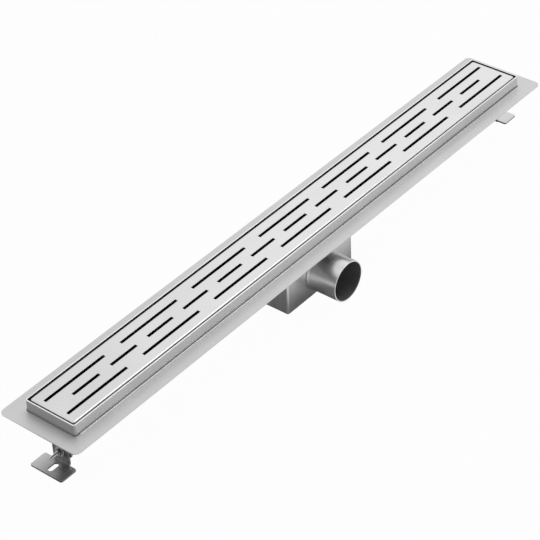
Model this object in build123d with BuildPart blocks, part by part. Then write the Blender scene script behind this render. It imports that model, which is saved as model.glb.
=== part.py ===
from build123d import *
import os

os.makedirs("parts", exist_ok=True)

# Linear shower drain, in millimetres. +X runs along the channel, the outlet points to -Y and +Z is up.
# The origin is the middle of the trap box's underside, so the rim's top lies at rim_height.

# Channel: one pressed trough with a raised rim
rim_height = 80.0
channel_length = 800.0
channel_width = 69.0
channel_sheet = 1.5
channel_corner = 3.0
channel_bend = 1.8
depth_middle = 24.0
depth_end = 20.5
flat_margin = 10.0

# Drawn seat in the channel's floor, which the odour trap hangs in
seat_radius = 29.0
seat_depth = 5.0
seat_hole_radius = 24.5

# Mounting flange round the rim, and the weld bead that joins them
flange_drop = 14.0
flange_margin = 20.0
flange_sheet = 1.5
flange_corner = 7.0
flange_side_gap = 0.5
flange_end_gap = 0.1
flange_bead = 1.2

# Trap box under the middle of the channel
trap_length = 119.0
trap_width = 68.0
trap_sheet = 1.5
trap_corner = 3.0
trap_bevel = 1.0

# Outlet pipe
pipe_radius = 25.0
pipe_wall = 1.2
pipe_drop = 50.7
pipe_reach = 74.0

# Folded cover with its slots
cover_gap = 1.9
cover_sheet = 1.5
cover_bend = 2.0
cover_corner = 2.5
cover_skirt = 12.0
slot_width = 4.0
slot_pitch = 115.0
long_slot = 89.5
short_slot = 39.8
long_slots = 7
row_spacing = 16.0

# Small folded rests that carry the cover's skirts
rest_length = 16.0
rest_width = 8.0
rest_sheet = 1.5
rest_gap = 0.2
rest_stations = (-2.5, -0.5, 0.5, 2.5)

# Odour trap: a cup that hangs on a rubber ring in the seat, and a dip tube that hangs in the cup
trap_gap = 0.5
seal_width = 4.0
seal_thickness = 1.5
cup_gap = 1.0
cup_wall = 1.4
cup_chamfer = 1.5
cup_floor_gap = 3.0
cup_windows = 2
window_height = 13.0
window_width = 30.0
water_depth = 22.0
dip_radius = 14.5
dip_wall = 1.5
dip_clearance = 4.5

# Hair strainer that hangs in the dip tube
strainer_sheet = 0.8
strainer_gap = 0.5
strainer_brim = 5.0
strainer_depth = 11.0
strainer_slots = 3
strainer_slot_length = 13.0
strainer_slot_width = 2.4
strainer_pitch = 5.0

# Brackets: a leaf welded under the channel's floor, with a tab that hangs down from it
tab_inset = 10.0
tab_sheet = 2.0
tab_bend = 1.0
tab_width = 27.0
tab_corner = 4.0
tab_low = 16.5
leaf_length = 22.0

# Height-adjustable feet: a slotted leg on the tab's outside, folded out into a slotted plate
foot_gap = 0.1
foot_sheet = 2.0
foot_bend = 1.0
foot_low = 7.2
foot_reach = 24.0
foot_width = 45.0
foot_corner = 2.5
foot_slot_length = 14.0
foot_slot_width = 6.4
leg_width = 23.0
leg_height = 40.0
travel_down = 16.0
travel_up = 3.0

# Clamping bolt through the tab and the leg, with its nut and washer
bolt_height = 22.0
bolt_radius = 2.0
bolt_length = 20.0
head_flats = 7.0
head_height = 2.8
bolt_hole_gap = 0.3
nut_height = 3.2
thread_gap = 0.05
washer_radius = 6.5
washer_sheet = 1.0

# Places worked out from the sizes above
floor_middle = rim_height - depth_middle
floor_end = rim_height - depth_end
tab_face = channel_length / 2 - tab_inset
flat_half = trap_length / 2 + flat_margin
inner_width = channel_width - 2 * channel_sheet
cover_length = channel_length - 2 * channel_sheet - 2 * cover_gap
cover_width = inner_width - 2 * cover_gap
skirt_bottom = rim_height - cover_skirt
flange_top = rim_height - flange_drop
floor_top = floor_middle + channel_sheet
seat_top = floor_top - seat_depth
seat_low = seat_top - channel_sheet
pipe_height = rim_height - pipe_drop
pipe_bore = pipe_radius - pipe_wall


def underside(x):
    """Height of the channel's underside: level over the trap, and rising gently to both ends."""
    run = max(abs(x) - flat_half, 0) / (channel_length / 2 - flat_half)
    return floor_middle + run * (floor_end - floor_middle)


def trough_profile(half_length, lift, top):
    """Side outline of the trough, with its floor lifted by one sheet for the inside."""
    return Polyline(
        (-half_length, top),
        (-half_length, underside(half_length) + lift),
        (-flat_half, floor_middle + lift),
        (flat_half, floor_middle + lift),
        (half_length, underside(half_length) + lift),
        (half_length, top),
        close=True,
    )


# Hollow of the channel, which the trough is cut with
with BuildPart() as channel_hollow:
    with BuildSketch(Plane.XZ):
        with BuildLine():
            trough_profile(channel_length / 2 - channel_sheet, channel_sheet, rim_height + channel_sheet)
        make_face()
    extrude(amount=inner_width / 2, both=True)
    fillet(channel_hollow.edges().filter_by(Axis.Z), channel_corner - channel_sheet)

with BuildPart() as channel_body:
    with BuildSketch(Plane.XZ):
        with BuildLine():
            trough_profile(channel_length / 2, 0, rim_height)
        make_face()
    extrude(amount=channel_width / 2, both=True)
    fillet(channel_body.edges().filter_by(Axis.Z), channel_corner)
    # The floor's faces meet in two creases at flat_half, and every other edge of theirs is a bend
    floor_edges = channel_body.faces().filter_by(lambda face: face.normal_at().Z < -0.9).edges()
    bends = floor_edges.filter_by(lambda edge: abs(abs(edge.center().X) - flat_half) > channel_bend)
    fillet(bends, channel_bend)
    add(channel_hollow.part, mode=Mode.SUBTRACT)
    # Drawn seat over the trap, with its round hole
    with BuildSketch(Plane.XY.offset(seat_low)):
        Circle(seat_radius + channel_sheet)
    extrude(amount=seat_depth)
    with BuildSketch(Plane.XY.offset(seat_top)):
        Circle(seat_radius)
    extrude(amount=seat_depth, mode=Mode.SUBTRACT)
    with BuildSketch(Plane.XY.offset(seat_low)):
        Circle(seat_hole_radius)
    extrude(amount=channel_sheet, mode=Mode.SUBTRACT)
channel_body.part.label = "channel_body"
export_step(channel_body.part, "parts/channel_body.step")

# Flange: close at the ends and a little loose along the sides, and welded to the channel from below
with BuildPart() as mounting_flange:
    with BuildSketch(Plane.XY.offset(flange_top - flange_sheet)):
        RectangleRounded(
            channel_length + 2 * flange_margin, channel_width + 2 * flange_margin, flange_corner
        )
        RectangleRounded(
            channel_length + 2 * flange_end_gap,
            channel_width + 2 * flange_side_gap,
            channel_corner,
            mode=Mode.SUBTRACT,
        )
    extrude(amount=flange_sheet)
    with BuildSketch(Plane.XY.offset(flange_top - flange_sheet)):
        RectangleRounded(
            channel_length + 2 * flange_bead, channel_width + 2 * flange_bead, channel_corner + flange_bead
        )
        RectangleRounded(channel_length, channel_width, channel_corner, mode=Mode.SUBTRACT)
    extrude(amount=-flange_bead)
mounting_flange.part.label = "mounting_flange"
export_step(mounting_flange.part, "parts/mounting_flange.step")

# Trap box, made from one sheet, with the outlet's hole in its front
with BuildPart() as trap_box:
    with BuildSketch(Plane.XY):
        RectangleRounded(trap_length, trap_width, trap_corner)
    extrude(amount=floor_middle)
    chamfer(trap_box.edges().group_by(Axis.Z)[0], trap_bevel)
    with BuildSketch(Plane.XY.offset(trap_sheet)):
        RectangleRounded(trap_length - 2 * trap_sheet, trap_width - 2 * trap_sheet, trap_corner - trap_sheet)
    extrude(amount=floor_middle, mode=Mode.SUBTRACT)
    with BuildSketch(Plane.XZ.offset(trap_width / 2 - trap_sheet - trap_corner)):
        with Locations((0, pipe_height)):
            Circle(pipe_bore)
    extrude(amount=trap_corner + 2 * trap_sheet, mode=Mode.SUBTRACT)
trap_box.part.label = "trap_box"
export_step(trap_box.part, "parts/trap_box.step")

# Outlet pipe, butt-welded to the box's front
with BuildPart() as outlet_pipe:
    with BuildSketch(Plane.XZ.offset(pipe_reach)):
        with Locations((0, pipe_height)):
            Circle(pipe_radius)
            Circle(pipe_bore, mode=Mode.SUBTRACT)
    extrude(amount=trap_width / 2 - pipe_reach)
outlet_pipe.part.label = "outlet_pipe"
export_step(outlet_pipe.part, "parts/outlet_pipe.step")

# Slotted cover: a flat sheet folded down on all four sides
with BuildPart() as cover_grate:
    with BuildSketch(Plane.XY.offset(skirt_bottom)):
        RectangleRounded(cover_length, cover_width, cover_corner)
    extrude(amount=cover_skirt)
    fillet(cover_grate.edges().group_by(Axis.Z)[-1], cover_bend)
    with BuildSketch(Plane.XY.offset(skirt_bottom)):
        Rectangle(cover_length - 2 * cover_sheet, cover_width - 2 * cover_sheet)
    extrude(amount=cover_skirt - cover_sheet, mode=Mode.SUBTRACT)
    with BuildSketch(Plane.XY.offset(rim_height)):
        with GridLocations(slot_pitch, 2 * row_spacing, long_slots, 2):
            Rectangle(long_slot, slot_width)
        with GridLocations(slot_pitch / 2, row_spacing, 2 * long_slots - 1, 1):
            Rectangle(short_slot, slot_width)
    extrude(amount=-2 * cover_sheet, mode=Mode.SUBTRACT)
cover_grate.part.label = "cover_grate"
export_step(cover_grate.part, "parts/cover_grate.step")


def make_cover_rest(name, x, side):
    """One folded rest: a bridge of sheet that stands on the channel's floor under the cover's skirt."""
    outer = rest_length / 2
    inner = outer - rest_sheet
    near_wall = side * (inner_width / 2 - rest_gap)
    with BuildPart() as rest:
        with BuildSketch(Plane.XZ.offset(-near_wall)):
            with BuildLine():
                Polyline(
                    (x - outer, underside(x - outer) + channel_sheet),
                    (x - outer, skirt_bottom),
                    (x + outer, skirt_bottom),
                    (x + outer, underside(x + outer) + channel_sheet),
                    (x + inner, underside(x + inner) + channel_sheet),
                    (x + inner, skirt_bottom - rest_sheet),
                    (x - inner, skirt_bottom - rest_sheet),
                    (x - inner, underside(x - inner) + channel_sheet),
                    close=True,
                )
            make_face()
        extrude(amount=side * rest_width)
    rest.part.label = name
    export_step(rest.part, f"parts/{name}.step")


for row, side in enumerate((-1, 1)):
    for place, station in enumerate(rest_stations):
        make_cover_rest(f"cover_rest_{row * len(rest_stations) + place + 1}", station * slot_pitch, side)

# Heights and radii in the odour trap, from the seat up and from the trap box's floor up
flange_radius = seat_radius - trap_gap
cup_flange_low = seat_top + seal_thickness
cup_flange_top = cup_flange_low + cup_wall
plate_top = cup_flange_top + dip_wall
cup_radius = seat_hole_radius - cup_gap
cup_inside = cup_radius - cup_wall
cup_low = trap_sheet + cup_floor_gap
dip_low = cup_low + cup_wall + dip_clearance
cup_rim = dip_low + water_depth

# Flat rubber ring between the seat and the cup's flange
with BuildPart() as cup_seal:
    with BuildSketch(Plane.XY.offset(seat_top)):
        Circle(flange_radius)
        Circle(flange_radius - seal_width, mode=Mode.SUBTRACT)
    extrude(amount=seal_thickness)
cup_seal.part.label = "cup_seal"
export_step(cup_seal.part, "parts/cup_seal.step")

# Trap cup: hangs by its flange, and holds the water that shuts the smell out
with BuildPart() as trap_cup:
    with BuildSketch(Plane.XZ):
        with BuildLine():
            Polyline(
                (0, cup_low),
                (cup_radius - cup_chamfer, cup_low),
                (cup_radius, cup_low + cup_chamfer),
                (cup_radius, cup_flange_low),
                (flange_radius, cup_flange_low),
                (flange_radius, cup_flange_top),
                (cup_inside, cup_flange_top),
                (cup_inside, cup_low + cup_wall),
                (0, cup_low + cup_wall),
                close=True,
            )
        make_face()
    revolve(axis=Axis.Z)
    # Windows over which the water leaves the cup
    with BuildSketch(Plane.XY.offset(cup_rim)):
        with PolarLocations(cup_radius, cup_windows):
            Rectangle(cup_radius, window_width)
    extrude(amount=window_height, mode=Mode.SUBTRACT)
trap_cup.part.label = "trap_cup"
export_step(trap_cup.part, "parts/trap_cup.step")

# Dip tube: its flange rests on the cup's, and it ends below the cup's water level
with BuildPart() as dip_tube:
    with BuildSketch(Plane.XZ):
        with BuildLine():
            Polyline(
                (dip_radius - dip_wall, plate_top),
                (flange_radius, plate_top),
                (flange_radius, cup_flange_top),
                (dip_radius, cup_flange_top),
                (dip_radius, dip_low),
                (dip_radius - dip_wall, dip_low),
                close=True,
            )
        make_face()
    revolve(axis=Axis.Z)
dip_tube.part.label = "dip_tube"
export_step(dip_tube.part, "parts/dip_tube.step")

# Hair strainer: a small pressed basket with a brim, and slots in its floor
strainer_radius = dip_radius - dip_wall - strainer_gap
strainer_low = plate_top - strainer_depth
with BuildPart() as hair_strainer:
    with BuildSketch(Plane.XZ):
        with BuildLine():
            Polyline(
                (0, strainer_low),
                (strainer_radius, strainer_low),
                (strainer_radius, plate_top),
                (strainer_radius + strainer_brim, plate_top),
                (strainer_radius + strainer_brim, plate_top + strainer_sheet),
                (strainer_radius - strainer_sheet, plate_top + strainer_sheet),
                (strainer_radius - strainer_sheet, strainer_low + strainer_sheet),
                (0, strainer_low + strainer_sheet),
                close=True,
            )
        make_face()
    revolve(axis=Axis.Z)
    with BuildSketch(Plane.XY.offset(strainer_low)):
        with GridLocations(strainer_slot_length, strainer_pitch, 1, strainer_slots):
            Rectangle(strainer_slot_length, strainer_slot_width)
    extrude(amount=strainer_sheet, mode=Mode.SUBTRACT)
hair_strainer.part.label = "hair_strainer"
export_step(hair_strainer.part, "parts/hair_strainer.step")

# Places of the foot's parts, counted outwards along the channel
leg_in = tab_face + foot_gap
leg_out = leg_in + foot_sheet
plate_in = leg_out + foot_bend
plate_out = leg_out + foot_reach
plate_middle = (plate_in + plate_out) / 2
bolt_hole = bolt_radius + bolt_hole_gap


def make_bracket(name, side):
    """Folded bracket: its leaf lies against the channel's underside."""
    leaf_in = tab_face - leaf_length
    tab_in = tab_face - tab_sheet
    with BuildPart() as bracket:
        with BuildSketch(Plane.XZ):
            with BuildLine():
                Polyline(
                    (side * leaf_in, underside(leaf_in)),
                    (side * tab_face, underside(tab_face)),
                    (side * tab_face, tab_low),
                    (side * tab_in, tab_low),
                    (side * tab_in, underside(tab_in) - tab_sheet),
                    (side * leaf_in, underside(leaf_in) - tab_sheet),
                    close=True,
                )
            make_face()
        extrude(amount=tab_width / 2, both=True)
        across = bracket.edges().filter_by(Axis.Y)
        fillet(across.sort_by_distance((side * tab_face, 0, underside(tab_face)))[0], tab_bend + tab_sheet)
        fillet(across.sort_by_distance((side * tab_in, 0, underside(tab_in) - tab_sheet))[0], tab_bend)
        fillet(bracket.edges().filter_by(Axis.X).group_by(Axis.Z)[0], tab_corner)
        with BuildSketch(Plane.YZ.offset(side * tab_in)):
            with Locations((0, bolt_height)):
                Circle(bolt_hole)
        extrude(amount=side * tab_sheet, mode=Mode.SUBTRACT)
    bracket.part.label = name
    export_step(bracket.part, f"parts/{name}.step")


def make_foot(name, side):
    """Folded foot: its slotted leg slides on the bolt, and its plate stands on the ground."""
    foot_top = foot_low + foot_sheet
    with BuildPart() as foot:
        with BuildSketch(Plane.XZ):
            with BuildLine():
                Polyline(
                    (side * leg_in, foot_low + leg_height),
                    (side * leg_in, foot_low),
                    (side * (plate_in + foot_sheet), foot_low),
                    (side * (plate_in + foot_sheet), foot_top),
                    (side * leg_out, foot_top),
                    (side * leg_out, foot_low + leg_height),
                    close=True,
                )
            make_face()
        extrude(amount=leg_width / 2, both=True)
        across = foot.edges().filter_by(Axis.Y)
        fillet(across.sort_by_distance((side * leg_in, 0, foot_low))[0], foot_bend + foot_sheet)
        fillet(across.sort_by_distance((side * leg_out, 0, foot_top))[0], foot_bend)
        # Slot for the bolt, which leaves the leg its travel up and down
        with BuildSketch(Plane.YZ.offset(side * leg_in)):
            with Locations((0, bolt_height + (travel_down - travel_up) / 2)):
                SlotCenterToCenter(travel_down + travel_up, 2 * bolt_hole, rotation=90)
        extrude(amount=side * foot_sheet, mode=Mode.SUBTRACT)
        with BuildSketch(Plane.XY.offset(foot_low)):
            with Locations((side * plate_middle, 0)):
                RectangleRounded(plate_out - plate_in, foot_width, foot_corner)
        extrude(amount=foot_sheet)
        with BuildSketch(Plane.XY.offset(foot_low)):
            with Locations((side * plate_middle, 0)):
                SlotOverall(foot_slot_length, foot_slot_width)
        extrude(amount=foot_sheet, mode=Mode.SUBTRACT)
    foot.part.label = name
    export_step(foot.part, f"parts/{name}.step")


def make_bolt(name, side):
    """Hexagon bolt, with its head inside the tab and its thread pointing outwards."""
    head_face = side * (tab_face - tab_sheet)
    with BuildPart() as bolt:
        with BuildSketch(Plane.YZ.offset(head_face)):
            with Locations((0, bolt_height)):
                RegularPolygon(head_flats / 2, 6, major_radius=False)
        extrude(amount=-side * head_height)
        with BuildSketch(Plane.YZ.offset(head_face)):
            with Locations((0, bolt_height)):
                Circle(bolt_radius)
        extrude(amount=side * bolt_length)
    bolt.part.label = name
    export_step(bolt.part, f"parts/{name}.step")


def make_washer(name, side):
    """Plain washer between the leg and the nut."""
    with BuildPart() as washer:
        with BuildSketch(Plane.YZ.offset(side * (leg_out + foot_gap))):
            with Locations((0, bolt_height)):
                Circle(washer_radius)
                Circle(bolt_hole, mode=Mode.SUBTRACT)
        extrude(amount=side * washer_sheet)
    washer.part.label = name
    export_step(washer.part, f"parts/{name}.step")


def make_nut(name, side):
    """Hexagon nut that clamps the leg against the tab."""
    with BuildPart() as nut:
        with BuildSketch(Plane.YZ.offset(side * (leg_out + foot_gap + washer_sheet))):
            with Locations((0, bolt_height)):
                RegularPolygon(head_flats / 2, 6, major_radius=False)
                Circle(bolt_radius + thread_gap, mode=Mode.SUBTRACT)
        extrude(amount=side * nut_height)
    nut.part.label = name
    export_step(nut.part, f"parts/{name}.step")


for end, side in (("left", -1), ("right", 1)):
    make_bracket(f"{end}_bracket", side)
    make_foot(f"{end}_foot", side)
    make_bolt(f"{end}_bolt", side)
    make_washer(f"{end}_washer", side)
    make_nut(f"{end}_nut", side)
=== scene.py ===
import math

import bpy
from bpy.props import FloatProperty, FloatVectorProperty, IntProperty, PointerProperty
from mathutils import Matrix, Vector


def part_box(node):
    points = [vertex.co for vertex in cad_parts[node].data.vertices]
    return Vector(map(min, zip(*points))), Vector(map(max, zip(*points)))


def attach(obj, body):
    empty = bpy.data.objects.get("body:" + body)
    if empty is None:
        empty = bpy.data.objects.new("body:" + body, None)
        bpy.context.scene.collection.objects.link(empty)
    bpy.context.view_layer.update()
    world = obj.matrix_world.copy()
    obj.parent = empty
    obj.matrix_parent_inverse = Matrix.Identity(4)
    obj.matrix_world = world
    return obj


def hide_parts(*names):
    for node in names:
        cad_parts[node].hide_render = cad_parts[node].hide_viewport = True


bl_info = {
    "name": "Linear Shower Drain",
    "version": (1, 0, 0),
    "blender": (4, 5, 0),
    "location": "View3D > Sidebar > Shower Drain",
    "description": "Dresses a stainless channel drain with its slotted cover, odour trap and adjustable feet",
    "category": "Object",
}

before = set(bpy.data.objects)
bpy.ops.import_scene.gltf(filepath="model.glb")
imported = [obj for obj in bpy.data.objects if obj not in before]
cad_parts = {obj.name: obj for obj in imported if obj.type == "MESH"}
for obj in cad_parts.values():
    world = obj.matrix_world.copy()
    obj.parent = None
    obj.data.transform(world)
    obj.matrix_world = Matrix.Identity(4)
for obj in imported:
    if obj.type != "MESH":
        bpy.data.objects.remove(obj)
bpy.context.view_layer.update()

# Every length below is in metres

# The drain's ends, each with the sign of X there
ENDS = (("left", -1), ("right", 1))

# The body that every piece rides on, apart from the two feet
BODY = "drain"

# Thickness of the folded sheet, and the depth from a wall's outer face to just short of its inner one
SHEET = 0.0015
WALL_DEPTH = SHEET * 0.9

# How far the feet slide down from rest, and how far the floor lies under that
FOOT_TRAVEL = 0.016
FLOOR_GAP = 0.0002

# Side of the floor, and where its open part starts and is whole, as shares of the flange's half width
FLOOR_SIDE = 24.0
OPEN_FROM = 1.1
OPEN_TO = 1.75

# Points of a mesh nearer than this are one point, on the sheets and on the finer thread
SAME_POINT = 0.000004
THREAD_POINT = 0.000002

# Faces that turn by less than the first angle are one face, edges past the second are rounded
FLAT_ANGLE = math.radians(0.5)
EDGE_ANGLE = math.radians(40)

# Degrees below which an edge is shaded smooth, on sheets, on beads and on fasteners
SHEET_SMOOTH = 35.0
BEAD_SMOOTH = 60.0
FASTENER_SMOOTH = 32.0

# Beads and lip: the corner of a bead, its depth in the box's top, the ripples' depth, the lip's shortening
BEAD_CORNER = 0.003
BEAD_SINK = 0.0002
RIPPLE_DEPTH = 0.00008
LIP_SHORTER = 8 * SHEET

# The pipe's bead, as shares of the weld radius: how far it lies in the pipe, and how thick it is
RING_SINK = 0.3
RING_THICK = 1.1

# Hexagons: the turned disc's radius and the radius past which its points are lowered, as shares of the
# hexagon's corner radius, the disc's flat middle as a share of the width across flats, and the drop
TURNED_SHARE = 1.01
SLOPE_SHARE = 0.9
MIDDLE_SHARE = 0.48
CHAMFER_DROP = 0.0004

# Bolts: how far the shank reaches into the head, its tip, and where the thread starts and ends
SHANK_OVERLAP = 0.0005
TIP_INSET = 0.0004
TIP_RISE = 0.0002
THREAD_START = 0.001
THREAD_END = 0.0007

# The thread's three-cornered section as shares of its depth: its radius, and its middle over the core
RIDGE_RADIUS = 0.8
RIDGE_MIDDLE = 0.2

# Holes as shares of the bolt's radius, the nut's countersink, and the washer's rounding as a share
# of its sheet
NUT_HOLE = 1.025
WASHER_HOLE = 1.15
COUNTERSINK = 0.00012
WASHER_ROUND = 0.2

# Height of the bumps in the steel's grain and in the plastic's skin
GRAIN_DEPTH = 0.00005
SKIN_DEPTH = 0.0001

# The brighter places of the sky, as directions from the drain
PANEL_DIRECTION = (0.645, 0.51, 0.57)
PATCH_DIRECTION = (0.34, 0.48, 0.81)
GLOW_DIRECTION = (-0.55, 0.50, 0.67)

# The soft lamp's place and side in metres
LAMP_PLACE = (1.1, -0.2, 2.4)
LAMP_SIDE = 1.5

# The photograph's camera: its place in metres, two of its axes, and its shift in pixels of the frame
CAMERA_PLACE = (-1.42801, -1.19514, 1.44531)
CAMERA_RIGHT = (0.6286908, -0.7764993, -0.0423847)
CAMERA_UP = (0.4954223, 0.3579143, 0.7914893)
CAMERA_SHIFT = (-0.6, 0.7)
FRAME_SIDE = 540

# Grain of the steel as scales per metre on X, Y and Z, for its fine lines and for its broad bands:
# low along the brushing and high across it
ALONG_X = ((24.0, 2600.0, 2600.0), (6.0, 420.0, 420.0))
ROUND_Y = ((40.0, 2200.0, 40.0), (14.0, 260.0, 14.0))
UPRIGHT = ((1500.0, 1500.0, 40.0), (240.0, 240.0, 14.0))
ACROSS_END = ((1800.0, 50.0, 900.0), (320.0, 16.0, 160.0))
FOOT_GRAIN = ((700.0, 40.0, 400.0), (90.0, 12.0, 60.0))


# Sizes and colours that a user may change


class DrainSizes(bpy.types.PropertyGroup):
    """Sizes of the details that are added to the sheet metal."""

    edge_round: FloatProperty(
        name="Edge rounding", description="Deburred rounding along the cut sheet edges",
        default=0.00018, min=0.0, max=0.001, unit="LENGTH",
    )
    weld_radius: FloatProperty(
        name="Weld bead", description="Radius of the weld beads' cross-section",
        default=0.0011, min=0.0003, max=0.003, unit="LENGTH",
    )
    lip_radius: FloatProperty(
        name="Flange lip", description="Radius of the thin lip along the flange's long inner edges",
        default=0.0006, min=0.0002, max=0.002, unit="LENGTH",
    )
    # The seam bead is real; its dark colour is painted shade in the crease at the rim's foot
    seam_radius: FloatProperty(
        name="Flange seam", description="Radius of the dark seam weld round the foot of the rim",
        default=0.0010, min=0.0, max=0.002, unit="LENGTH",
    )
    thread_pitch: FloatProperty(
        name="Thread pitch", description="Distance between two turns of the bolt's thread",
        default=0.0007, min=0.0004, max=0.0015, unit="LENGTH",
    )
    thread_depth: FloatProperty(
        name="Thread depth", description="Height of the thread above the bolt's core",
        default=0.0004, min=0.0001, max=0.001, unit="LENGTH",
    )
    across_flats: FloatProperty(
        name="Across flats", description="Width of the hexagon on the bolt's head and the nut",
        default=0.007, min=0.004, max=0.012, unit="LENGTH",
    )
    bolt_radius: FloatProperty(
        name="Bolt radius", description="Radius over the bolt's thread",
        default=0.002, min=0.001, max=0.004, unit="LENGTH",
    )
    head_height: FloatProperty(
        name="Head height", description="Height of the bolt's hexagon head",
        default=0.0028, min=0.001, max=0.006, unit="LENGTH",
    )
    ripples: IntProperty(
        name="Weld ripples", description="Number of ripples round the pipe's weld bead",
        default=72, min=12, max=160,
    )


class DrainFinish(bpy.types.PropertyGroup):
    """Colours and grain of the drain's materials."""

    # Painted shade: the trough's inside and the seam at the rim's foot get this dark steel, which stands in
    # for the shade there
    inside_tone: FloatVectorProperty(
        name="Inside steel", description="Colour of the trough's pickled inside and of the flange's seam",
        default=(0.22, 0.22, 0.22), min=0.0, max=1.0, size=3, subtype="COLOR",
    )
    # Painted shade: a darker steel for the undersides of the trough and flange and for the cover's slot
    # walls, where shade falls
    under_tone: FloatVectorProperty(
        name="Underside steel", description="Colour of the dull undersides and of the slots' cut edges",
        default=(0.42, 0.42, 0.42), min=0.0, max=1.0, size=3, subtype="COLOR",
    )
    # Painted shade: the pipe's bore gets a darker steel that stands in for the shade inside it
    bore_tone: FloatVectorProperty(
        name="Bore steel", description="Colour of the outlet pipe's inside",
        default=(0.30, 0.30, 0.30), min=0.0, max=1.0, size=3, subtype="COLOR",
    )
    # Painted shade: the rim's end walls get a darker steel than its long walls
    end_tone: FloatVectorProperty(
        name="End steel", description="Colour of the rim's ground end walls",
        default=(0.42, 0.42, 0.42), min=0.0, max=1.0, size=3, subtype="COLOR",
    )
    cover_tone: FloatVectorProperty(
        name="Cover steel", description="Colour of the brushed cover",
        default=(0.75, 0.75, 0.75), min=0.0, max=1.0, size=3, subtype="COLOR",
    )
    channel_tone: FloatVectorProperty(
        name="Channel steel", description="Colour of the channel and its rim",
        default=(0.74, 0.74, 0.74), min=0.0, max=1.0, size=3, subtype="COLOR",
    )
    # Painted highlight: the rim's top face gets a lighter steel than the rest of the rim
    rim_tone: FloatVectorProperty(
        name="Rim edge steel", description="Colour of the polished edge on top of the rim",
        default=(0.90, 0.90, 0.90), min=0.0, max=1.0, size=3, subtype="COLOR",
    )
    flange_tone: FloatVectorProperty(
        name="Flange steel", description="Colour of the flange for the waterproofing",
        default=(0.68, 0.68, 0.68), min=0.0, max=1.0, size=3, subtype="COLOR",
    )
    trap_tone: FloatVectorProperty(
        name="Trap steel", description="Colour of the trap box and the outlet pipe",
        default=(0.74, 0.74, 0.74), min=0.0, max=1.0, size=3, subtype="COLOR",
    )
    foot_tone: FloatVectorProperty(
        name="Foot steel", description="Colour of the level faces of the feet and their brackets",
        default=(0.66, 0.66, 0.66), min=0.0, max=1.0, size=3, subtype="COLOR",
    )
    # Painted shade: the upright faces of the feet and brackets get a much darker copy of the foot steel,
    # whose lit copy is the foot tone above
    leg_tone: FloatVectorProperty(
        name="Leg steel", description="Colour of the upright faces of the feet and their brackets",
        default=(0.18, 0.18, 0.18), min=0.0, max=1.0, size=3, subtype="COLOR",
    )
    bolt_tone: FloatVectorProperty(
        name="Bolt steel", description="Colour of the bright bolts",
        default=(0.80, 0.80, 0.80), min=0.0, max=1.0, size=3, subtype="COLOR",
    )
    nut_tone: FloatVectorProperty(
        name="Nut steel", description="Colour of the nuts and washers",
        default=(0.42, 0.42, 0.42), min=0.0, max=1.0, size=3, subtype="COLOR",
    )
    plastic_tone: FloatVectorProperty(
        name="Trap plastic", description="Colour of the moulded trap cup and dip tube",
        default=(0.78, 0.78, 0.76), min=0.0, max=1.0, size=3, subtype="COLOR",
    )
    rubber_tone: FloatVectorProperty(
        name="Seal rubber", description="Colour of the rubber ring under the trap cup",
        default=(0.05, 0.05, 0.05), min=0.0, max=1.0, size=3, subtype="COLOR",
    )


class DrainStage(bpy.types.PropertyGroup):
    """Camera, floor and light."""

    lens: FloatProperty(
        name="Lens", description="Focal length that gives the photograph's framing",
        default=136.569, min=20.0, max=300.0, unit="CAMERA",
    )
    floor_tone: FloatVectorProperty(
        name="Floor", description="Colour of the floor below its plain white",
        default=(0.50, 0.50, 0.50), min=0.0, max=1.0, size=3, subtype="COLOR",
    )
    floor_lift: FloatProperty(
        name="Floor lift", description="Share of plain white in the floor that the camera sees",
        default=0.975, min=0.0, max=1.0, subtype="FACTOR",
    )
    mirror_lift: FloatProperty(
        name="Mirror lift", description="Share of plain white in the open floor that the steel mirrors",
        default=0.95, min=0.0, max=1.0, subtype="FACTOR",
    )
    sky_level: FloatProperty(
        name="Sky level", description="Strength of the sky before its lean and its bright places",
        default=0.30, min=0.0, max=3.0,
    )
    sky_lean: FloatVectorProperty(
        name="Sky lean", description="How much the sky brightens towards each axis",
        default=(0.46, 0.0, 0.35), min=-2.0, max=2.0, size=3, subtype="XYZ",
    )
    panel_strength: FloatProperty(
        name="Panel strength", description="Extra strength of the panel that the middle and far cover mirror",
        default=0.38, min=0.0, max=3.0,
    )
    panel_width: FloatProperty(
        name="Panel width", description="Angle from the middle of the panel to its edge",
        default=math.radians(12.0), min=0.05, max=1.5, subtype="ANGLE",
    )
    patch_strength: FloatProperty(
        name="Patch strength", description="Extra strength at the middle of the patch above the panel",
        default=0.22, min=0.0, max=3.0,
    )
    patch_width: FloatProperty(
        name="Patch width", description="Angle from the middle of the patch to its edge",
        default=math.radians(15.0), min=0.05, max=1.5, subtype="ANGLE",
    )
    glow_strength: FloatProperty(
        name="Glow strength", description="Extra strength at the middle of the broad glow over the left end",
        default=0.64, min=0.0, max=3.0,
    )
    glow_width: FloatProperty(
        name="Glow width", description="Angle from the middle of the glow to its edge",
        default=math.radians(46.0), min=0.05, max=1.5, subtype="ANGLE",
    )
    sky_least: FloatProperty(
        name="Least sky", description="Strength of the darkest part of the sky",
        default=0.36, min=0.0, max=1.0,
    )
    edge_light: FloatProperty(
        name="Edge light", description="Power of the soft lamp that lights the cover's fold",
        default=12.0, min=0.0, max=100.0, unit="POWER",
    )


# Small helpers that work as a modeller does by hand


def start_clean():
    """Leaves edit mode and deselects everything."""
    if bpy.context.object and bpy.context.object.mode != "OBJECT":
        bpy.ops.object.mode_set(mode="OBJECT")
    bpy.ops.object.select_all(action="DESELECT")


def make_active(piece):
    """Selects one piece alone."""
    start_clean()
    piece.select_set(True)
    bpy.context.view_layer.objects.active = piece


def name_piece(name):
    """Names the newest object and its mesh."""
    piece = bpy.context.object
    piece.name = name
    piece.data.name = name
    return piece


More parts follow.
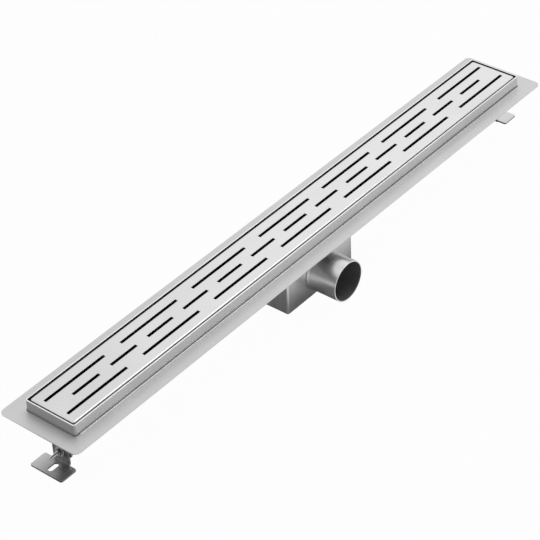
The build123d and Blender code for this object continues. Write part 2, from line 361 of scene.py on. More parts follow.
def apply_place(piece):
    """Moves a piece's place and turn into its mesh."""
    make_active(piece)
    bpy.ops.object.transform_apply(location=True, rotation=True, scale=True)


def apply_modifiers(piece):
    """Applies every modifier of a piece in its order."""
    make_active(piece)
    for name in [modifier.name for modifier in piece.modifiers]:
        bpy.ops.object.modifier_apply(modifier=name)


def join_pieces(pieces):
    """Joins pieces into the first one."""
    make_active(pieces[0])
    for piece in pieces[1:]:
        piece.select_set(True)
    bpy.ops.object.join()
    return pieces[0]


def smooth(piece, degrees=SHEET_SMOOTH):
    """Smooth shading that keeps the sharp edges."""
    make_active(piece)
    bpy.ops.object.shade_smooth_by_angle(angle=math.radians(degrees))


def select_where(piece, test):
    """Selects the faces of a piece whose centre and normal pass a test. Call it in edit mode."""
    bpy.ops.mesh.select_all(action="DESELECT")
    bpy.ops.object.mode_set(mode="OBJECT")
    for polygon in piece.data.polygons:
        polygon.select = test(polygon.center, polygon.normal)
    bpy.ops.object.mode_set(mode="EDIT")


def cut_with(piece, tool, operation):
    """Cuts a piece with a tool by a Boolean modifier, then removes the tool."""
    modifier = piece.modifiers.new("cut", "BOOLEAN")
    modifier.object = tool
    modifier.operation = operation
    modifier.solver = "EXACT"
    apply_modifiers(piece)
    bpy.data.objects.remove(tool, do_unlink=True)


def round_edges(piece, width, segments):
    """Rounds the sharp edges of a piece."""
    bevel = piece.modifiers.new("rounded edges", "BEVEL")
    bevel.width = width
    bevel.segments = segments
    bevel.limit_method = "ANGLE"
    bevel.angle_limit = EDGE_ANGLE
    apply_modifiers(piece)


def lay_bead(name, length, width, height, radius):
    """A weld bead along a level rectangle with rounded corners."""
    start_clean()
    bpy.ops.mesh.primitive_plane_add(size=1.0, location=(0.0, 0.0, height))
    bead = name_piece(name)
    bead.scale = (length, width, 1.0)
    apply_place(bead)
    bpy.ops.object.mode_set(mode="EDIT")
    bpy.ops.mesh.select_all(action="SELECT")
    bpy.ops.mesh.bevel(offset=BEAD_CORNER, segments=6, affect="VERTICES")
    bpy.ops.mesh.select_all(action="SELECT")
    bpy.ops.mesh.delete(type="ONLY_FACE")
    bpy.ops.object.mode_set(mode="OBJECT")
    bpy.ops.object.convert(target="CURVE")
    bead.data.bevel_depth = radius
    bead.data.bevel_resolution = 3
    bpy.ops.object.convert(target="MESH")
    smooth(bead, BEAD_SMOOTH)
    return bead


def dress(piece, material, body, slot, *nodes):
    """Gives a finished piece its material and body, and hides the CAD nodes that it stands for; its slot is
    not used.
    """
    piece.data.materials.clear()
    piece.data.materials.append(material)
    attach(piece, body)
    if nodes:
        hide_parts(*nodes)


def paint_faces(piece, material, test):
    """Gives the faces of a piece whose centre and normal pass a test a second material."""
    piece.data.materials.append(material)
    for polygon in piece.data.polygons:
        if test(polygon.center, polygon.normal):
            polygon.material_index = len(piece.data.materials) - 1


def half_inside(node):
    """Half the length and half the width that hold a folded node's inner faces and not its outer ones."""
    low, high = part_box(node)
    return (high[0] - low[0]) / 2 - WALL_DEPTH, (high[1] - low[1]) / 2 - WALL_DEPTH


def paint_node(node, material):
    """Gives a CAD node that keeps its own mesh a finished material."""
    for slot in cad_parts[node].material_slots:
        slot.material = material


def sheet_copy(node, name, rounding):
    """A copy of a folded sheet node, with whole faces and slightly rounded edges."""
    start_clean()
    piece = bpy.data.objects.new(name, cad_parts[node].data.copy())
    piece.data.name = name
    bpy.context.scene.collection.objects.link(piece)
    make_active(piece)
    bpy.ops.object.mode_set(mode="EDIT")
    bpy.ops.mesh.select_all(action="SELECT")
    bpy.ops.mesh.remove_doubles(threshold=SAME_POINT)
    bpy.ops.mesh.customdata_custom_splitnormals_clear()
    bpy.ops.mesh.dissolve_limited(angle_limit=FLAT_ANGLE)
    bpy.ops.object.mode_set(mode="OBJECT")
    round_edges(piece, rounding, 2)
    smooth(piece)
    # The broad flat faces stay flat, and only the rounding beside them is shaded as a curve
    flat = piece.modifiers.new("flat faces", "WEIGHTED_NORMAL")
    flat.weight = 100
    flat.keep_sharp = True
    apply_modifiers(piece)
    return piece


# Materials, all on Object coordinates


def object_mapping(material, scale):
    """Object coordinates, scaled per axis."""
    nodes = material.node_tree.nodes
    place = nodes.new("ShaderNodeTexCoord")
    mapping = nodes.new("ShaderNodeMapping")
    mapping.inputs["Scale"].default_value = scale
    material.node_tree.links.new(place.outputs["Object"], mapping.inputs["Vector"])
    return mapping.outputs["Vector"]


def add_noise(material, scale, detail=3.0, roughness=0.55):
    """Noise on Object coordinates that are scaled per axis, as a value from 0 to 1."""
    noise = material.node_tree.nodes.new("ShaderNodeTexNoise")
    noise.inputs["Scale"].default_value = 1.0
    noise.inputs["Detail"].default_value = detail
    noise.inputs["Roughness"].default_value = roughness
    material.node_tree.links.new(object_mapping(material, scale), noise.inputs["Vector"])
    return noise.outputs["Fac"]


def add_math(material, operation, first, second):
    """Joins two values, or a value and a number, by a Math node."""
    node = material.node_tree.nodes.new("ShaderNodeMath")
    node.operation = operation
    for socket, value in zip(node.inputs, (first, second)):
        if isinstance(value, (int, float)):
            socket.default_value = value
        else:
            material.node_tree.links.new(value, socket)
    return node.outputs[0]


def add_mix(material, first, share, second, rest):
    """Adds two values, each multiplied by its share."""
    return add_math(
        material, "ADD",
        add_math(material, "MULTIPLY", first, share), add_math(material, "MULTIPLY", second, rest),
    )


def add_bump(material, height, strength, depth, shader):
    """Raises the surface by a height value, over a depth in metres."""
    bump = material.node_tree.nodes.new("ShaderNodeBump")
    bump.inputs["Strength"].default_value = strength
    bump.inputs["Distance"].default_value = depth
    material.node_tree.links.new(height, bump.inputs["Height"])
    material.node_tree.links.new(bump.outputs["Normal"], shader.inputs["Normal"])


def add_range(material, value, low, high, to_low, to_high):
    """Maps a value from one range to another."""
    node = material.node_tree.nodes.new("ShaderNodeMapRange")
    node.inputs["From Min"].default_value = low
    node.inputs["From Max"].default_value = high
    node.inputs["To Min"].default_value = to_low
    node.inputs["To Max"].default_value = to_high
    material.node_tree.links.new(value, node.inputs["Value"])
    return node.outputs["Result"]


def add_tones(material, value, dark, light):
    """A colour between two tones, by a value that stays near 0.5."""
    ramp = material.node_tree.nodes.new("ShaderNodeValToRGB")
    ramp.color_ramp.elements[0].position = 0.3
    ramp.color_ramp.elements[0].color = (*dark, 1.0)
    ramp.color_ramp.elements[1].position = 0.7
    ramp.color_ramp.elements[1].color = (*light, 1.0)
    material.node_tree.links.new(value, ramp.inputs["Fac"])
    return ramp.outputs["Color"]


def new_material(name):
    """An empty node material with its shader."""
    material = bpy.data.materials.new(name)
    material.use_nodes = True
    return material, material.node_tree.nodes["Principled BSDF"]


def shade_of(tone, factor):
    """A tone made darker or lighter, and kept within 0 and 1."""
    return tuple(min(part * factor, 1.0) for part in tone)


def brushed_steel(name, tone, roughness, grain, relief):
    """Stainless sheet: fine grain along one axis, broad polishing bands, and a faint cloudiness."""
    material, shader = new_material(name)
    links = material.node_tree.links
    fine, broad = grain
    lines = add_noise(material, fine, detail=4.0, roughness=0.6)
    bands = add_noise(material, broad, detail=2.0)
    clouds = add_noise(material, (22.0, 22.0, 22.0), detail=2.0, roughness=0.45)
    brushing = add_mix(material, lines, 0.55, bands, 0.45)
    cloudy = add_mix(material, brushing, 0.6, clouds, 0.4)
    colour = add_tones(material, cloudy, shade_of(tone, 0.93), shade_of(tone, 1.05))
    links.new(colour, shader.inputs["Base Color"])
    rough = add_range(material, brushing, 0.25, 0.75, roughness - 0.06, roughness + 0.08)
    links.new(rough, shader.inputs["Roughness"])
    shader.inputs["Metallic"].default_value = 1.0
    add_bump(material, lines, relief, GRAIN_DEPTH, shader)
    return material


def moulded_plastic(name, tone):
    """Matt moulded plastic with a fine eroded skin."""
    material, shader = new_material(name)
    links = material.node_tree.links
    skin = add_noise(material, (1800.0, 1800.0, 1800.0), detail=2.0)
    clouds = add_noise(material, (30.0, 30.0, 30.0), detail=2.0)
    colour = add_tones(material, clouds, shade_of(tone, 0.96), shade_of(tone, 1.02))
    links.new(colour, shader.inputs["Base Color"])
    links.new(add_range(material, clouds, 0.3, 0.7, 0.42, 0.52), shader.inputs["Roughness"])
    add_bump(material, skin, 0.15, SKIN_DEPTH, shader)
    return material


def seal_rubber(name, tone):
    """Matt black rubber with a dusty bloom."""
    material, shader = new_material(name)
    links = material.node_tree.links
    bloom = add_noise(material, (90.0, 90.0, 90.0), detail=4.0)
    colour = add_tones(material, bloom, shade_of(tone, 0.8), shade_of(tone, 1.6))
    links.new(colour, shader.inputs["Base Color"])
    links.new(add_range(material, bloom, 0.3, 0.7, 0.62, 0.78), shader.inputs["Roughness"])
    return material


# One operator for each piece or group of like pieces


class DRAIN_OT_channel(bpy.types.Operator):
    """Dress the channel trough, its flange and the rests for the cover"""

    bl_idname = "drain.channel"
    bl_label = "Channel and Flange"

    def execute(self, context):
        sizes = context.scene.drain_sizes
        finish = context.scene.drain_finish
        wall = brushed_steel("channel_steel", finish.channel_tone, 0.30, ALONG_X, 0.25)
        plate = brushed_steel("flange_steel", finish.flange_tone, 0.48, ALONG_X, 0.25)
        inside = brushed_steel("pickled_steel", finish.inside_tone, 0.45, ALONG_X, 0.3)
        under = brushed_steel("underside_steel", finish.under_tone, 0.5, ALONG_X, 0.3)
        ground = brushed_steel("end_steel", finish.end_tone, 0.34, ACROSS_END, 0.35)
        polished = brushed_steel("rim_steel", finish.rim_tone, 0.34, ALONG_X, 0.1)
        low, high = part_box("channel_body")
        half_length, half_width = half_inside("channel_body")
        trough = sheet_copy("channel_body", "trough", sizes.edge_round)
        dress(trough, wall, BODY, "channel_steel", "channel_body")
        # Painted shade: the trough's floor and inner walls, seen through the slots, get the dark inside steel
        paint_faces(
            trough, inside,
            lambda centre, normal: abs(centre.x) < half_length and abs(centre.y) < half_width
            and centre.z < high[2] - SHEET / 2 and (normal.z > 0.5 or normal.xy.dot(centre.xy) < 0.0),
        )
        flange = sheet_copy("mounting_flange", "flange", sizes.edge_round)
        dress(flange, plate, BODY, "channel_steel", "mounting_flange")
        # Painted shade: the downward faces of the trough and the flange get the darker underside steel
        for piece in (trough, flange):
            paint_faces(piece, under, lambda centre, normal: normal.z < -0.5)
        # Painted shade: the rim's outer end walls are darker than its long walls; only the grain across them
        # is their own
        paint_faces(
            trough, ground,
            lambda centre, normal: abs(centre.x) > half_length and abs(normal.x) > 0.9,
        )
        # Painted highlight: the top faces of the rim are lighter than its walls
        paint_faces(
            trough, polished,
            lambda centre, normal: centre.z > high[2] - SHEET / 4 and normal.z > 0.3,
        )
        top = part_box("mounting_flange")[1][2]
        self.lay_lip(sizes, wall, low, high, top)
        # Painted shade: the seam bead gets the dark inside steel, which darkens the crease at the foot of the
        # rim
        seam = lay_bead("flange_seam", high[0] - low[0], high[1] - low[1], top, sizes.seam_radius)
        dress(seam, inside, BODY, "channel_steel")
        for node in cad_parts:
            if node.startswith("cover_rest_"):
                paint_node(node, wall)
        return {"FINISHED"}

    def lay_lip(self, sizes, steel, low, high, top):
        """The thin raised lip along both long inner edges of the flange, beside the seam."""
        sides = []
        for side in (-1, 1):
            start_clean()
            bpy.ops.mesh.primitive_cylinder_add(
                vertices=16, radius=sizes.lip_radius, depth=high[0] - low[0] - LIP_SHORTER,
                location=(0.0, side * (high[1] + sizes.seam_radius + sizes.lip_radius), top),
                rotation=(0.0, math.pi / 2, 0.0),
            )
            part = name_piece("flange_lip")
            apply_place(part)
            sides.append(part)
        lip = join_pieces(sides)
        smooth(lip, BEAD_SMOOTH)
        dress(lip, steel, BODY, "channel_steel")


class DRAIN_OT_cover(bpy.types.Operator):
    """Dress the folded, slotted cover"""

    bl_idname = "drain.cover"
    bl_label = "Slotted Cover"

    def execute(self, context):
        sizes = context.scene.drain_sizes
        finish = context.scene.drain_finish
        steel = brushed_steel("cover_steel", finish.cover_tone, 0.27, ALONG_X, 0.22)
        cut = brushed_steel("cut_steel", finish.under_tone, 0.5, UPRIGHT, 0.4)
        cover = sheet_copy("cover_grate", "slotted_cover", sizes.edge_round)
        dress(cover, steel, BODY, "cover_steel", "cover_grate")
        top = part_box("cover_grate")[1][2]
        half_length, half_width = half_inside("cover_grate")
        # Painted shade: the slots' cut walls and the cover's underside get the darker steel
        paint_faces(
            cover, cut,
            lambda centre, normal: abs(centre.x) < half_length and abs(centre.y) < half_width
            and (centre.z < top - SHEET / 5 or abs(normal.z) < 0.5),
        )
        return {"FINISHED"}


class DRAIN_OT_trap_box(bpy.types.Operator):
    """Dress the trap box and the outlet pipe, and lay their weld beads"""

    bl_idname = "drain.trap_box"
    bl_label = "Trap Box and Outlet"

    def execute(self, context):
        sizes = context.scene.drain_sizes
        finish = context.scene.drain_finish
        box_steel = brushed_steel("trap_steel", finish.trap_tone, 0.33, UPRIGHT, 0.3)
        pipe_steel = brushed_steel("pipe_steel", finish.trap_tone, 0.30, ROUND_Y, 0.3)
        bore_steel = brushed_steel("bore_steel", finish.bore_tone, 0.6, ROUND_Y, 0.3)
        box = sheet_copy("trap_box", "trap_housing", sizes.edge_round)
        dress(box, box_steel, BODY, "trap_steel", "trap_box")
        pipe = sheet_copy("outlet_pipe", "outlet", sizes.edge_round)
        dress(pipe, pipe_steel, BODY, "trap_steel", "outlet_pipe")
        low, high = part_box("outlet_pipe")
        axis = Vector((0.0, 0.0, (low[2] + high[2]) / 2))
        # Painted shade: the pipe's inner faces get the dark bore steel
        paint_faces(
            pipe, bore_steel,
            lambda centre, normal: abs(normal.y) < 0.5 and normal.xz.dot((centre - axis).xz) < 0.0,
        )
        self.lay_ring_bead(sizes, box_steel, axis.z, (high[2] - low[2]) / 2)
        low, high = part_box("trap_box")
        level = high[2] - BEAD_SINK
        bead = lay_bead("trap_weld", high[0] - low[0], high[1] - low[1], level, sizes.weld_radius)
        dress(bead, box_steel, BODY, "trap_steel")
        return {"FINISHED"}

    def lay_ring_bead(self, sizes, steel, middle, radius):
        """The rippled weld bead between the pipe and the box's front."""
        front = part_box("trap_box")[0][1]
        start_clean()
        bpy.ops.mesh.primitive_torus_add(
            major_segments=2 * sizes.ripples, minor_segments=16,
            major_radius=radius - sizes.weld_radius * RING_SINK, minor_radius=sizes.weld_radius * RING_THICK,
            location=(0.0, front - sizes.weld_radius, middle), rotation=(math.pi / 2, 0.0, 0.0),
        )
        bead = name_piece("pipe_weld")
        apply_place(bead)
        bpy.ops.object.mode_set(mode="EDIT")
        bpy.ops.mesh.select_all(action="DESELECT")
        bpy.ops.object.mode_set(mode="OBJECT")
        # Every second ring of points moves along its normals, which leaves the ripples
        step = math.pi / sizes.ripples
        for vertex in bead.data.vertices:
            angle = math.atan2(vertex.co.z - middle, vertex.co.x)
            vertex.select = round(angle / step) % 2 == 0
        bpy.ops.object.mode_set(mode="EDIT")
        bpy.ops.transform.shrink_fatten(value=-RIPPLE_DEPTH)
        bpy.ops.object.mode_set(mode="OBJECT")
        smooth(bead, BEAD_SMOOTH)
        dress(bead, steel, BODY, "trap_steel")


class DRAIN_OT_odour_trap(bpy.types.Operator):
    """Dress the trap cup, the dip tube, the rubber ring and the hair strainer"""

    bl_idname = "drain.odour_trap"
    bl_label = "Odour Trap"

    def execute(self, context):
        finish = context.scene.drain_finish
        plastic = moulded_plastic("trap_plastic", finish.plastic_tone)
        rubber = seal_rubber("seal_rubber", finish.rubber_tone)
        strainer = brushed_steel("strainer_steel", finish.cover_tone, 0.25, UPRIGHT, 0.2)
        for node in ("trap_cup", "dip_tube"):
            paint_node(node, plastic)
        paint_node("cup_seal", rubber)
        paint_node("hair_strainer", strainer)
        return {"FINISHED"}


class DRAIN_OT_feet(bpy.types.Operator):
    """Dress the slotted feet and the brackets that hold them"""

    bl_idname = "drain.feet"
    bl_label = "Feet and Brackets"

    def execute(self, context):
        sizes = context.scene.drain_sizes
        finish = context.scene.drain_finish
        steel = brushed_steel("foot_steel", finish.foot_tone, 0.30, FOOT_GRAIN, 0.08)
        upright = brushed_steel("leg_steel", finish.leg_tone, 0.30, UPRIGHT, 0.25)
        for end, _ in ENDS:
            foot = sheet_copy(f"{end}_foot", f"{end}_slotted_foot", sizes.edge_round)
            dress(foot, steel, f"{end}_foot", "foot_steel", f"{end}_foot")
            bracket = sheet_copy(f"{end}_bracket", f"{end}_tab", sizes.edge_round)
            dress(bracket, steel, BODY, "foot_steel", f"{end}_bracket")
            # Painted shade: the upright faces are darker than the level faces of the same steel
            for piece in (foot, bracket):
                paint_faces(piece, upright, lambda centre, normal: abs(normal.x) > 0.5)
        return {"FINISHED"}


class DRAIN_OT_fasteners(bpy.types.Operator):
    """Model the threaded bolts, the chamfered nuts and the washers"""

    bl_idname = "drain.fasteners"
    bl_label = "Bolts, Nuts and Washers"

    def execute(self, context):
        sizes = context.scene.drain_sizes
        finish = context.scene.drain_finish
        bright = brushed_steel("bolt_steel", finish.bolt_tone, 0.16, UPRIGHT, 0.2)
        steel = brushed_steel("nut_steel", finish.nut_tone, 0.16, UPRIGHT, 0.2)
        for end, side in ENDS:
            bolt = self.make_bolt(sizes, end, side)
            dress(bolt, bright, BODY, "fastener_steel", f"{end}_bolt")
            nut = self.make_nut(sizes, end, side)
            dress(nut, steel, BODY, "fastener_steel", f"{end}_nut")
            washer = self.make_washer(sizes, end, side)
            dress(washer, steel, BODY, "fastener_steel", f"{end}_washer")
        return {"FINISHED"}

    def lay_along(self, piece, node, side):
        """Turns a piece that stands on the origin so that it points outwards from the node's inner end."""
        low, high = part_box(node)
        inner = low[0] if side > 0 else high[0]
        piece.rotation_euler = (0.0, side * math.pi / 2, 0.0)
        piece.location = (inner, (low[1] + high[1]) / 2, (low[2] + high[2]) / 2)
        apply_place(piece)

    def chamfered_hexagon(self, name, flats, height, both):
        """A hexagon prism on the origin, its corners cut back by the turned chamfer of a real nut."""
        corners = flats / math.sqrt(3)
        turned_radius = corners * TURNED_SHARE
        start_clean()
        bpy.ops.mesh.primitive_cylinder_add(
            vertices=6, radius=corners, depth=height, location=(0.0, 0.0, height / 2),
            rotation=(0.0, 0.0, math.pi / 6),
        )
        prism = name_piece(name)
        apply_place(prism)
        start_clean()
        bpy.ops.mesh.primitive_cylinder_add(
            vertices=48, radius=turned_radius, depth=height, location=(0.0, 0.0, height / 2),
        )
        turned = name_piece("turned")
        apply_place(turned)
        bpy.ops.object.mode_set(mode="EDIT")
        for end in ((1, -1) if both else (-1,)):
            select_where(turned, lambda centre, normal: normal.z * end > 0.9)
            bpy.ops.mesh.inset(thickness=turned_radius - flats * MIDDLE_SHARE)
        bpy.ops.object.mode_set(mode="OBJECT")
        self.drop_chamfer(turned, corners * SLOPE_SHARE, height, both)
        cut_with(prism, turned, "INTERSECT")
        return prism

    def drop_chamfer(self, turned, radius, height, both):
        """Lowers the outer ring of a disc's ends, so that they slope."""
        make_active(turned)
        bpy.ops.object.mode_set(mode="EDIT")
        for end in ((1, -1) if both else (-1,)):
            bpy.ops.mesh.select_all(action="DESELECT")
            bpy.ops.object.mode_set(mode="OBJECT")
            for vertex in turned.data.vertices:
                outside = vertex.co.xy.length > radius
                vertex.select = outside and (vertex.co.z - height / 2) * end > 0
            bpy.ops.object.mode_set(mode="EDIT")
            bpy.ops.transform.translate(value=(0.0, 0.0, -end * CHAMFER_DROP))
        bpy.ops.object.mode_set(mode="OBJECT")

    def make_bolt(self, sizes, end, side):
        """A hexagon bolt with a real helical thread."""
        low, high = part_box(f"{end}_bolt")
        length = high[0] - low[0]
        head_height = sizes.head_height
        core = sizes.bolt_radius - sizes.thread_depth
        head = self.chamfered_hexagon(f"{end}_hex_bolt", sizes.across_flats, head_height, False)
        start_clean()
        bpy.ops.mesh.primitive_cylinder_add(
            vertices=40, radius=core, depth=length - head_height + SHANK_OVERLAP,
            location=(0.0, 0.0, (length + head_height - SHANK_OVERLAP) / 2),
        )
        shank = name_piece("shank")
        apply_place(shank)
        bpy.ops.object.mode_set(mode="EDIT")
        select_where(shank, lambda centre, normal: normal.z > 0.9)
        bpy.ops.mesh.inset(thickness=TIP_INSET)
        bpy.ops.transform.translate(value=(0.0, 0.0, TIP_RISE))
        bpy.ops.object.mode_set(mode="OBJECT")
        thread = self.make_thread(sizes, core, head_height + THREAD_START, length - THREAD_END)
        bolt = join_pieces([head, shank, thread])
        smooth(bolt, FASTENER_SMOOTH)
        self.lay_along(bolt, f"{end}_bolt", side)
        return bolt

    def make_thread(self, sizes, core, start, stop):
        """A helical ridge of three-cornered section, closed at both ends."""
        pitch = sizes.thread_pitch
        turns = int((stop - start) / pitch) - 1
        start_clean()
        bpy.ops.mesh.primitive_circle_add(
            vertices=3, radius=sizes.thread_depth * RIDGE_RADIUS, fill_type="NOTHING",
            location=(core + sizes.thread_depth * RIDGE_MIDDLE, 0.0, start + pitch / 2),
            rotation=(math.pi / 2, math.pi / 2, 0.0),
        )
        thread = name_piece("thread")
        apply_place(thread)
        screw = thread.modifiers.new("helix", "SCREW")
        screw.axis = "Z"
        screw.angle = math.tau
        screw.screw_offset = pitch
        screw.iterations = turns
        screw.steps = 28
        screw.render_steps = 28
        screw.use_merge_vertices = False
        apply_modifiers(thread)
        bpy.ops.object.mode_set(mode="EDIT")
        bpy.ops.mesh.select_all(action="SELECT")
        bpy.ops.mesh.remove_doubles(threshold=THREAD_POINT)
        bpy.ops.mesh.select_all(action="DESELECT")
        bpy.ops.mesh.select_mode(type="EDGE")
        bpy.ops.mesh.select_non_manifold()
        bpy.ops.mesh.edge_face_add()
        bpy.ops.mesh.select_all(action="SELECT")
        bpy.ops.mesh.normals_make_consistent(inside=False)
        bpy.ops.mesh.select_mode(type="FACE")
        bpy.ops.object.mode_set(mode="OBJECT")
        return thread

    def make_nut(self, sizes, end, side):
        """A hexagon nut, chamfered on both ends, with its hole countersunk."""
        low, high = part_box(f"{end}_nut")
        height = high[0] - low[0]
        nut = self.chamfered_hexagon(f"{end}_hex_nut", sizes.across_flats, height, True)
        start_clean()
        bpy.ops.mesh.primitive_cylinder_add(
            vertices=40, radius=sizes.bolt_radius * NUT_HOLE, depth=height * 2,
            location=(0.0, 0.0, height / 2),
        )
        hole = name_piece("hole")
        apply_place(hole)
        cut_with(nut, hole, "DIFFERENCE")
        round_edges(nut, COUNTERSINK, 2)
        smooth(nut, FASTENER_SMOOTH)
        self.lay_along(nut, f"{end}_nut", side)
        return nut

    def make_washer(self, sizes, end, side):
        """A plain washer with its punched edges rounded."""
        low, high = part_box(f"{end}_washer")
        sheet = high[0] - low[0]
        radius = (high[2] - low[2]) / 2
        start_clean()
        bpy.ops.mesh.primitive_cylinder_add(
            vertices=64, radius=radius, depth=sheet, location=(0.0, 0.0, sheet / 2),
        )
        washer = name_piece(f"{end}_plain_washer")
        apply_place(washer)
        start_clean()
        bpy.ops.mesh.primitive_cylinder_add(
            vertices=48, radius=sizes.bolt_radius * WASHER_HOLE, depth=sheet * 3,
            location=(0.0, 0.0, sheet / 2),
        )
        hole = name_piece("hole")
        apply_place(hole)
        cut_with(washer, hole, "DIFFERENCE")
        round_edges(washer, sheet * WASHER_ROUND, 3)
        smooth(washer, FASTENER_SMOOTH)
        self.lay_along(washer, f"{end}_washer", side)
        return washer


class DRAIN_OT_stage(bpy.types.Operator):
    """Set the pale floor, the soft sky, the lamp and the camera"""

    bl_idname = "drain.stage"
    bl_label = "Floor, Light and Camera"

    def execute(self, context):
        stage = context.scene.drain_stage
        self.set_floor(stage)
        self.set_sky(context, stage)
        self.set_lamp(stage)
        self.set_camera(context, stage)
        context.scene.view_settings.view_transform = "Standard"
        return {"FINISHED"}

    def set_floor(self, stage):
        """A pale floor just below the lowest place of the feet, which keeps the drain's shadow."""
        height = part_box("left_foot")[0][2] - FOOT_TRAVEL - FLOOR_GAP
        start_clean()
        bpy.ops.mesh.primitive_plane_add(size=FLOOR_SIDE, location=(0.0, 0.0, height))
        floor = name_piece("floor")
        apply_place(floor)
        material, shader = new_material("floor")
        nodes = material.node_tree.nodes
        links = material.node_tree.links
        shader.inputs["Base Color"].default_value = (*stage.floor_tone, 1.0)
        shader.inputs["Roughness"].default_value = 0.9
        shader.inputs["Specular IOR Level"].default_value = 0.1
        white = nodes.new("ShaderNodeEmission")
        white.inputs["Color"].default_value = (1.0, 1.0, 1.0, 1.0)
        rays = nodes.new("ShaderNodeLightPath")
        seen = add_math(material, "MULTIPLY", rays.outputs["Is Camera Ray"], stage.floor_lift)
        # The steel mirrors the open floor beside the drain brighter than the shaded floor under it
        place = nodes.new("ShaderNodeTexCoord")
        parts = nodes.new("ShaderNodeSeparateXYZ")
        links.new(place.outputs["Object"], parts.inputs["Vector"])
        beside = add_math(material, "ABSOLUTE", parts.outputs["Y"], 0.0)
        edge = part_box("mounting_flange")[1][1]
        open_floor = add_range(
            material, beside, edge * OPEN_FROM, edge * OPEN_TO, 0.0, stage.mirror_lift,
        )
        mirrored = add_math(material, "MULTIPLY", rays.outputs["Is Glossy Ray"], open_floor)
        share = add_math(material, "MAXIMUM", seen, mirrored)
        mix = nodes.new("ShaderNodeMixShader")
        links.new(share, mix.inputs["Fac"])
        links.new(shader.outputs["BSDF"], mix.inputs[1])
        links.new(white.outputs["Emission"], mix.inputs[2])
        links.new(mix.outputs["Shader"], nodes["Material Output"].inputs["Surface"])
        floor.data.materials.append(material)

    def set_sky(self, context, stage):
        """A soft sky, brighter to the right and in three soft places, and plain white to the camera."""
        world = bpy.data.worlds.new("soft_sky")
        context.scene.world = world
        world.use_nodes = True
        nodes = world.node_tree.nodes
        links = world.node_tree.links
        sky = nodes["Background"]
        direction = nodes.new("ShaderNodeTexCoord")
        facing = nodes.new("ShaderNodeVectorMath")
        facing.operation = "DOT_PRODUCT"
        facing.inputs[1].default_value = stage.sky_lean
        links.new(direction.outputs["Generated"], facing.inputs[0])
        strength = add_math(world, "ADD", facing.outputs["Value"], stage.sky_level)
        for middle, width, inner, extra in (
            (PANEL_DIRECTION, stage.panel_width, stage.panel_width / 3, stage.panel_strength),
            (PATCH_DIRECTION, stage.patch_width, 0.0, stage.patch_strength),
            (GLOW_DIRECTION, stage.glow_width, 0.0, stage.glow_strength),
        ):
            toward = nodes.new("ShaderNodeVectorMath")
            toward.operation = "DOT_PRODUCT"
            toward.inputs[1].default_value = Vector(middle).normalized()
            links.new(direction.outputs["Generated"], toward.inputs[0])
            spot = nodes.new("ShaderNodeMapRange")
            spot.interpolation_type = "SMOOTHSTEP"
            spot.inputs["From Min"].default_value = math.cos(width)
            spot.inputs["From Max"].default_value = math.cos(inner)
            spot.inputs["To Max"].default_value = extra
            links.new(toward.outputs["Value"], spot.inputs["Value"])
            strength = add_math(world, "ADD", strength, spot.outputs["Result"])
        links.new(add_math(world, "MAXIMUM", strength, stage.sky_least), sky.inputs["Strength"])
        sky.inputs["Color"].default_value = (1.0, 1.0, 1.0, 1.0)
        white = nodes.new("ShaderNodeBackground")
        white.inputs["Color"].default_value = (1.0, 1.0, 1.0, 1.0)
        rays = nodes.new("ShaderNodeLightPath")
        mix = nodes.new("ShaderNodeMixShader")
        links.new(rays.outputs["Is Camera Ray"], mix.inputs["Fac"])
        links.new(sky.outputs["Background"], mix.inputs[1])
        links.new(white.outputs["Background"], mix.inputs[2])
        links.new(mix.outputs["Shader"], nodes["World Output"].inputs["Surface"])

    def set_lamp(self, stage):
        """A soft lamp high beyond the drain's right end, which the cover's fold and the pipe's top mirror."""
        start_clean()
        place = Vector(LAMP_PLACE)
        turn = place.to_track_quat("Z", "Y").to_euler()
        bpy.ops.object.light_add(type="AREA", location=place, rotation=turn)
        lamp = bpy.context.object
        lamp.name = "edge_lamp"
        lamp.data.shape = "SQUARE"
        lamp.data.size = LAMP_SIDE
        lamp.data.energy = stage.edge_light

    def set_camera(self, context, stage):
        """The photograph's camera."""
        data = bpy.data.cameras.new("photo_camera")
        data.sensor_width = 36.0
        data.lens = stage.lens
        data.clip_end = 50.0
        data.shift_x = CAMERA_SHIFT[0] / FRAME_SIDE
        data.shift_y = CAMERA_SHIFT[1] / FRAME_SIDE
        camera = bpy.data.objects.new("photo_camera", data)
        context.scene.collection.objects.link(camera)
        right = Vector(CAMERA_RIGHT)
        up = Vector(CAMERA_UP)
        turn = Matrix((right, up, right.cross(up))).transposed()
        camera.matrix_world = Matrix.Translation(CAMERA_PLACE) @ turn.to_4x4()
        context.scene.camera = camera


class DRAIN_PT_sidebar(bpy.types.Panel):
    """Lists the drain's pieces, sizes and colours"""

    bl_label = "Shower Drain"
    bl_idname = "DRAIN_PT_sidebar"
    bl_space_type = "VIEW_3D"
    bl_region_type = "UI"
    bl_category = "Shower Drain"

    def draw(self, context):
        layout = self.layout
        for operator in OPERATORS:
            layout.operator(operator.bl_idname)
        for label, group in (
            ("Sizes", context.scene.drain_sizes),
            ("Finish", context.scene.drain_finish),
            ("Stage", context.scene.drain_stage),
        ):
            box = layout.box()
            box.label(text=label)
            for name in group.bl_rna.properties.keys():
                if name not in ("rna_type", "name"):
                    box.prop(group, name)


GROUPS = (DrainSizes, DrainFinish, DrainStage)
OPERATORS = (
    DRAIN_OT_channel,
    DRAIN_OT_cover,
    DRAIN_OT_trap_box,
    DRAIN_OT_odour_trap,
    DRAIN_OT_feet,
    DRAIN_OT_fasteners,
    DRAIN_OT_stage,
)


def register():
    for group in (*GROUPS, *OPERATORS, DRAIN_PT_sidebar):
        bpy.utils.register_class(group)
    bpy.types.Scene.drain_sizes = PointerProperty(type=DrainSizes)
    bpy.types.Scene.drain_finish = PointerProperty(type=DrainFinish)
    bpy.types.Scene.drain_stage = PointerProperty(type=DrainStage)


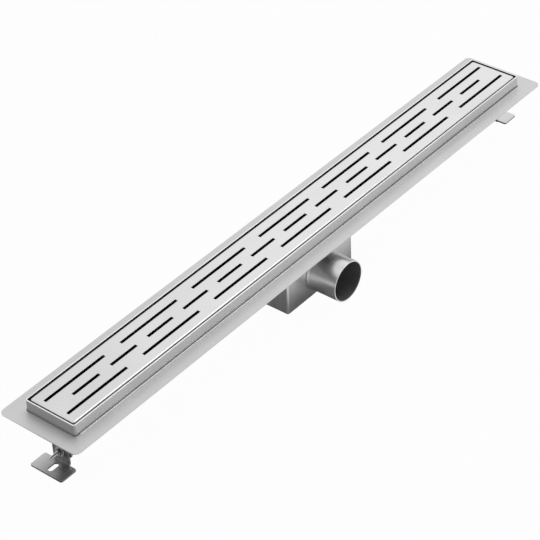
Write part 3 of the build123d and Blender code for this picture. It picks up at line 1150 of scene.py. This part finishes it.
def unregister():
    del bpy.types.Scene.drain_stage
    del bpy.types.Scene.drain_finish
    del bpy.types.Scene.drain_sizes
    for group in reversed((*GROUPS, *OPERATORS, DRAIN_PT_sidebar)):
        bpy.utils.unregister_class(group)


def main():
    register()
    bpy.ops.drain.channel()
    bpy.ops.drain.cover()
    bpy.ops.drain.trap_box()
    bpy.ops.drain.odour_trap()
    bpy.ops.drain.feet()
    bpy.ops.drain.fasteners()
    bpy.ops.drain.stage()
    start_clean()


if __name__ == "__main__":
    main()
